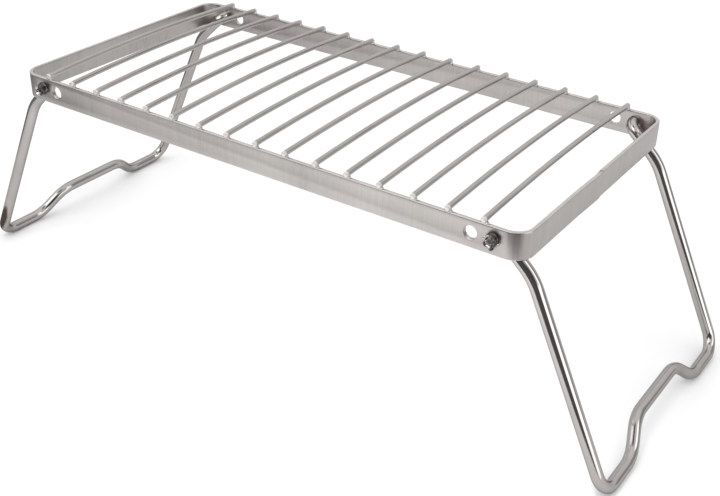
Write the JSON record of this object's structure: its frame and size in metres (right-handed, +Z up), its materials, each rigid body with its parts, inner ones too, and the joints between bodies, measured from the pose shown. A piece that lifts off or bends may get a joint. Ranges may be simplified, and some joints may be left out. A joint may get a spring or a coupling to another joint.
{
  "type": "folding camp grill",
  "caption": "Rectangular steel strap frame with cooking rods welded across it, standing on two splayed bent-rod legs that fold flat underneath.",
  "frame": {"origin": "on the ground under the middle of the open grill, halfway between the two legs and between the two long rails", "axes": "+X along the frame's length to the end with the seam weld, +Y across to the far rail, +Z up"},
  "size_m": [0.6004, 0.2362, 0.1875],
  "materials": {
    "strap_steel": "satin stainless strap with fine grain, lightly heat-tinted",
    "rod_steel": "satin drawn stainless rod",
    "leg_steel": "bright drawn stainless rod, smoother than the frame",
    "weld_steel": "dressed weld bead, slightly darker"
  },
  "bodies": {
    "grate": {"frame_band": "strap_steel", "seam_weld": "weld_steel", "grill_rod_01": "rod_steel", "grill_rod_02": "rod_steel", "grill_rod_03": "rod_steel", "grill_rod_04": "rod_steel", "grill_rod_05": "rod_steel", "grill_rod_06": "rod_steel", "grill_rod_07": "rod_steel", "grill_rod_08": "rod_steel", "grill_rod_09": "rod_steel", "grill_rod_10": "rod_steel", "grill_rod_11": "rod_steel", "grill_rod_12": "rod_steel", "grill_rod_13": "rod_steel", "grill_rod_14": "rod_steel", "grill_rod_15": "rod_steel", "grill_rod_16": "rod_steel"},
    "left_leg": {"leg_left": "leg_steel"},
    "right_leg": {"leg_right": "leg_steel"}
  },
  "joints": [
    {"name": "left_leg_fold", "type": "hinge", "parent": "grate", "child": "left_leg", "pos_m": [-0.2021, 0, 0.17085], "axis": [0, -1, 0], "range_deg": [0, 120]},
    {"name": "right_leg_fold", "type": "hinge", "parent": "grate", "child": "right_leg", "pos_m": [0.2021, 0, 0.17085], "axis": [0, 1, 0], "range_deg": [0, 120]}
  ]
}
